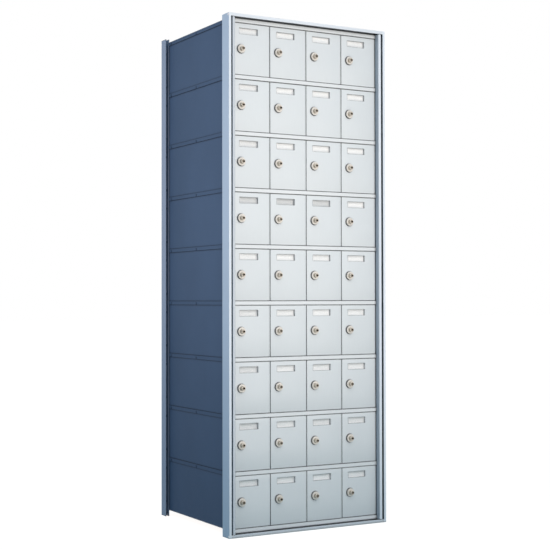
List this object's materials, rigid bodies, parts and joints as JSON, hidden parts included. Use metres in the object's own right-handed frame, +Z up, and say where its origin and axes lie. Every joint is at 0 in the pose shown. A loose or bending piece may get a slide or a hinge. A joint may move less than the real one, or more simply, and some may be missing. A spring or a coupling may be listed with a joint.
{
  "type": "mailbox unit",
  "caption": "Rear-loading mailbox unit: grooved aluminium frame, hinged front doors with cam locks and name-card windows, sheet-metal compartments open at the back.",
  "frame": {"origin": "middle of the footprint, on the ground", "axes": "+X to the right along the front, +Y from the doors to the open back, +Z up"},
  "size_m": [0.4612, 0.395, 1.2839],
  "materials": {
    "anodised_frame": "clear anodised extrusion, satin",
    "door_aluminium": "clear anodised, finely brushed",
    "slate_paint": "slate blue paint, semi-matt",
    "sheet_metal": "grey paint, semi-matt",
    "steel": "zinc-plated",
    "lock_nickel": "satin nickel-plated"
  },
  "bodies": {
    "cabinet": {"frame_stile_left": "anodised_frame", "frame_stile_right": "anodised_frame", "frame_head": "anodised_frame", "frame_sill": "anodised_frame", "frame_screws": "steel", "rear_post_left": "anodised_frame", "rear_post_right": "anodised_frame", "rear_crossbars": "anodised_frame", "side_panels": "slate_paint", "joint_strips": "slate_paint", "shelves": "sheet_metal", "partitions": "sheet_metal", "strikes": "sheet_metal", "door_rails": "door_aluminium", "hinge_rods": "steel", "panel_rivets": "slate_paint"},
    "door_r1c1": {"door_r1c1": "door_aluminium"},
    "door_r1c2": {"door_r1c2": "door_aluminium"},
    "door_r1c3": {"door_r1c3": "door_aluminium"},
    "door_r1c4": {"door_r1c4": "door_aluminium"},
    "door_r2c1": {"door_r2c1": "door_aluminium"},
    "door_r2c2": {"door_r2c2": "door_aluminium"},
    "door_r2c3": {"door_r2c3": "door_aluminium"},
    "door_r2c4": {"door_r2c4": "door_aluminium"},
    "door_r3c1": {"door_r3c1": "door_aluminium"},
    "door_r3c2": {"door_r3c2": "door_aluminium"},
    "door_r3c3": {"door_r3c3": "door_aluminium"},
    "door_r3c4": {"door_r3c4": "door_aluminium"},
    "door_r4c1": {"door_r4c1": "door_aluminium"},
    "door_r4c2": {"door_r4c2": "door_aluminium"},
    "door_r4c3": {"door_r4c3": "door_aluminium"},
    "door_r4c4": {"door_r4c4": "door_aluminium"},
    "door_r5c1": {"door_r5c1": "door_aluminium"},
    "door_r5c2": {"door_r5c2": "door_aluminium"},
    "door_r5c3": {"door_r5c3": "door_aluminium"},
    "door_r5c4": {"door_r5c4": "door_aluminium"},
    "door_r6c1": {"door_r6c1": "door_aluminium"},
    "door_r6c2": {"door_r6c2": "door_aluminium"},
    "door_r6c3": {"door_r6c3": "door_aluminium"},
    "door_r6c4": {"door_r6c4": "door_aluminium"},
    "door_r7c1": {"door_r7c1": "door_aluminium"},
    "door_r7c2": {"door_r7c2": "door_aluminium"},
    "door_r7c3": {"door_r7c3": "door_aluminium"},
    "door_r7c4": {"door_r7c4": "door_aluminium"},
    "door_r8c1": {"door_r8c1": "door_aluminium"},
    "door_r8c2": {"door_r8c2": "door_aluminium"},
    "door_r8c3": {"door_r8c3": "door_aluminium"},
    "door_r8c4": {"door_r8c4": "door_aluminium"},
    "door_r9c1": {"door_r9c1": "door_aluminium"},
    "door_r9c2": {"door_r9c2": "door_aluminium"},
    "door_r9c3": {"door_r9c3": "door_aluminium"},
    "door_r9c4": {"door_r9c4": "door_aluminium"},
    "lock_r4c1": {"lock_r4c1": "lock_nickel"},
    "lock_r4c2": {"lock_r4c2": "lock_nickel"},
    "lock_r4c3": {"lock_r4c3": "lock_nickel"},
    "lock_r4c4": {"lock_r4c4": "lock_nickel"},
    "lock_r5c1": {"lock_r5c1": "lock_nickel"},
    "lock_r5c2": {"lock_r5c2": "lock_nickel"},
    "lock_r5c3": {"lock_r5c3": "lock_nickel"},
    "lock_r5c4": {"lock_r5c4": "lock_nickel"}
  },
  "joints": [
    {"name": "hinge_r1c1", "type": "hinge", "parent": "cabinet", "child": "door_r1c1", "pos_m": [-0.1099, -0.177, 1.1369], "axis": [0, 0, 1], "range_deg": [0, 100]},
    {"name": "hinge_r1c2", "type": "hinge", "parent": "cabinet", "child": "door_r1c2", "pos_m": [-0.0041, -0.177, 1.1369], "axis": [0, 0, 1], "range_deg": [0, 100]},
    {"name": "hinge_r1c3", "type": "hinge", "parent": "cabinet", "child": "door_r1c3", "pos_m": [0.1017, -0.177, 1.1369], "axis": [0, 0, 1], "range_deg": [0, 100]},
    {"name": "hinge_r1c4", "type": "hinge", "parent": "cabinet", "child": "door_r1c4", "pos_m": [0.2075, -0.177, 1.1369], "axis": [0, 0, 1], "range_deg": [0, 90]},
    {"name": "hinge_r2c1", "type": "hinge", "parent": "cabinet", "child": "door_r2c1", "pos_m": [-0.1099, -0.177, 0.9972], "axis": [0, 0, 1], "range_deg": [0, 100]},
    {"name": "hinge_r2c2", "type": "hinge", "parent": "cabinet", "child": "door_r2c2", "pos_m": [-0.0041, -0.177, 0.9972], "axis": [0, 0, 1], "range_deg": [0, 100]},
    {"name": "hinge_r2c3", "type": "hinge", "parent": "cabinet", "child": "door_r2c3", "pos_m": [0.1017, -0.177, 0.9972], "axis": [0, 0, 1], "range_deg": [0, 100]},
    {"name": "hinge_r2c4", "type": "hinge", "parent": "cabinet", "child": "door_r2c4", "pos_m": [0.2075, -0.177, 0.9972], "axis": [0, 0, 1], "range_deg": [0, 90]},
    {"name": "hinge_r3c1", "type": "hinge", "parent": "cabinet", "child": "door_r3c1", "pos_m": [-0.1099, -0.177, 0.8575], "axis": [0, 0, 1], "range_deg": [0, 100]},
    {"name": "hinge_r3c2", "type": "hinge", "parent": "cabinet", "child": "door_r3c2", "pos_m": [-0.0041, -0.177, 0.8575], "axis": [0, 0, 1], "range_deg": [0, 100]},
    {"name": "hinge_r3c3", "type": "hinge", "parent": "cabinet", "child": "door_r3c3", "pos_m": [0.1017, -0.177, 0.8575], "axis": [0, 0, 1], "range_deg": [0, 100]},
    {"name": "hinge_r3c4", "type": "hinge", "parent": "cabinet", "child": "door_r3c4", "pos_m": [0.2075, -0.177, 0.8575], "axis": [0, 0, 1], "range_deg": [0, 90]},
    {"name": "hinge_r4c1", "type": "hinge", "parent": "cabinet", "child": "door_r4c1", "pos_m": [-0.1099, -0.177, 0.7178], "axis": [0, 0, 1], "range_deg": [0, 100]},
    {"name": "hinge_r4c2", "type": "hinge", "parent": "cabinet", "child": "door_r4c2", "pos_m": [-0.0041, -0.177, 0.7178], "axis": [0, 0, 1], "range_deg": [0, 100]},
    {"name": "hinge_r4c3", "type": "hinge", "parent": "cabinet", "child": "door_r4c3", "pos_m": [0.1017, -0.177, 0.7178], "axis": [0, 0, 1], "range_deg": [0, 100]},
    {"name": "hinge_r4c4", "type": "hinge", "parent": "cabinet", "child": "door_r4c4", "pos_m": [0.2075, -0.177, 0.7178], "axis": [0, 0, 1], "range_deg": [0, 90]},
    {"name": "hinge_r5c1", "type": "hinge", "parent": "cabinet", "child": "door_r5c1", "pos_m": [-0.1099, -0.177, 0.5781], "axis": [0, 0, 1], "range_deg": [0, 100]},
    {"name": "hinge_r5c2", "type": "hinge", "parent": "cabinet", "child": "door_r5c2", "pos_m": [-0.0041, -0.177, 0.5781], "axis": [0, 0, 1], "range_deg": [0, 100]},
    {"name": "hinge_r5c3", "type": "hinge", "parent": "cabinet", "child": "door_r5c3", "pos_m": [0.1017, -0.177, 0.5781], "axis": [0, 0, 1], "range_deg": [0, 100]},
    {"name": "hinge_r5c4", "type": "hinge", "parent": "cabinet", "child": "door_r5c4", "pos_m": [0.2075, -0.177, 0.5781], "axis": [0, 0, 1], "range_deg": [0, 90]},
    {"name": "hinge_r6c1", "type": "hinge", "parent": "cabinet", "child": "door_r6c1", "pos_m": [-0.1099, -0.177, 0.4384], "axis": [0, 0, 1], "range_deg": [0, 100]},
    {"name": "hinge_r6c2", "type": "hinge", "parent": "cabinet", "child": "door_r6c2", "pos_m": [-0.0041, -0.177, 0.4384], "axis": [0, 0, 1], "range_deg": [0, 100]},
    {"name": "hinge_r6c3", "type": "hinge", "parent": "cabinet", "child": "door_r6c3", "pos_m": [0.1017, -0.177, 0.4384], "axis": [0, 0, 1], "range_deg": [0, 100]},
    {"name": "hinge_r6c4", "type": "hinge", "parent": "cabinet", "child": "door_r6c4", "pos_m": [0.2075, -0.177, 0.4384], "axis": [0, 0, 1], "range_deg": [0, 90]},
    {"name": "hinge_r7c1", "type": "hinge", "parent": "cabinet", "child": "door_r7c1", "pos_m": [-0.1099, -0.177, 0.2987], "axis": [0, 0, 1], "range_deg": [0, 100]},
    {"name": "hinge_r7c2", "type": "hinge", "parent": "cabinet", "child": "door_r7c2", "pos_m": [-0.0041, -0.177, 0.2987], "axis": [0, 0, 1], "range_deg": [0, 100]},
    {"name": "hinge_r7c3", "type": "hinge", "parent": "cabinet", "child": "door_r7c3", "pos_m": [0.1017, -0.177, 0.2987], "axis": [0, 0, 1], "range_deg": [0, 100]},
    {"name": "hinge_r7c4", "type": "hinge", "parent": "cabinet", "child": "door_r7c4", "pos_m": [0.2075, -0.177, 0.2987], "axis": [0, 0, 1], "range_deg": [0, 90]},
    {"name": "hinge_r8c1", "type": "hinge", "parent": "cabinet", "child": "door_r8c1", "pos_m": [-0.1099, -0.177, 0.159], "axis": [0, 0, 1], "range_deg": [0, 100]},
    {"name": "hinge_r8c2", "type": "hinge", "parent": "cabinet", "child": "door_r8c2", "pos_m": [-0.0041, -0.177, 0.159], "axis": [0, 0, 1], "range_deg": [0, 100]},
    {"name": "hinge_r8c3", "type": "hinge", "parent": "cabinet", "child": "door_r8c3", "pos_m": [0.1017, -0.177, 0.159], "axis": [0, 0, 1], "range_deg": [0, 100]},
    {"name": "hinge_r8c4", "type": "hinge", "parent": "cabinet", "child": "door_r8c4", "pos_m": [0.2075, -0.177, 0.159], "axis": [0, 0, 1], "range_deg": [0, 90]},
    {"name": "hinge_r9c1", "type": "hinge", "parent": "cabinet", "child": "door_r9c1", "pos_m": [-0.1099, -0.177, 0.0193], "axis": [0, 0, 1], "range_deg": [0, 100]},
    {"name": "hinge_r9c2", "type": "hinge", "parent": "cabinet", "child": "door_r9c2", "pos_m": [-0.0041, -0.177, 0.0193], "axis": [0, 0, 1], "range_deg": [0, 100]},
    {"name": "hinge_r9c3", "type": "hinge", "parent": "cabinet", "child": "door_r9c3", "pos_m": [0.1017, -0.177, 0.0193], "axis": [0, 0, 1], "range_deg": [0, 100]},
    {"name": "hinge_r9c4", "type": "hinge", "parent": "cabinet", "child": "door_r9c4", "pos_m": [0.2075, -0.177, 0.0193], "axis": [0, 0, 1], "range_deg": [0, 90]},
    {"name": "lock_turn_r4c1", "type": "hinge", "parent": "door_r4c1", "child": "lock_r4c1", "pos_m": [-0.188, -0.18, 0.78165], "axis": [0, 1, 0], "range_deg": [0, 90]},
    {"name": "lock_turn_r4c2", "type": "hinge", "parent": "door_r4c2", "child": "lock_r4c2", "pos_m": [-0.0822, -0.18, 0.78165], "axis": [0, 1, 0], "range_deg": [0, 90]},
    {"name": "lock_turn_r4c3", "type": "hinge", "parent": "door_r4c3", "child": "lock_r4c3", "pos_m": [0.0236, -0.18, 0.78165], "axis": [0, 1, 0], "range_deg": [0, 90]},
    {"name": "lock_turn_r4c4", "type": "hinge", "parent": "door_r4c4", "child": "lock_r4c4", "pos_m": [0.1294, -0.18, 0.78165], "axis": [0, 1, 0], "range_deg": [0, 90]},
    {"name": "lock_turn_r5c1", "type": "hinge", "parent": "door_r5c1", "child": "lock_r5c1", "pos_m": [-0.188, -0.18, 0.64195], "axis": [0, 1, 0], "range_deg": [0, 90]},
    {"name": "lock_turn_r5c2", "type": "hinge", "parent": "door_r5c2", "child": "lock_r5c2", "pos_m": [-0.0822, -0.18, 0.64195], "axis": [0, 1, 0], "range_deg": [0, 90]},
    {"name": "lock_turn_r5c3", "type": "hinge", "parent": "door_r5c3", "child": "lock_r5c3", "pos_m": [0.0236, -0.18, 0.64195], "axis": [0, 1, 0], "range_deg": [0, 90]},
    {"name": "lock_turn_r5c4", "type": "hinge", "parent": "door_r5c4", "child": "lock_r5c4", "pos_m": [0.1294, -0.18, 0.64195], "axis": [0, 1, 0], "range_deg": [0, 90]}
  ]
}
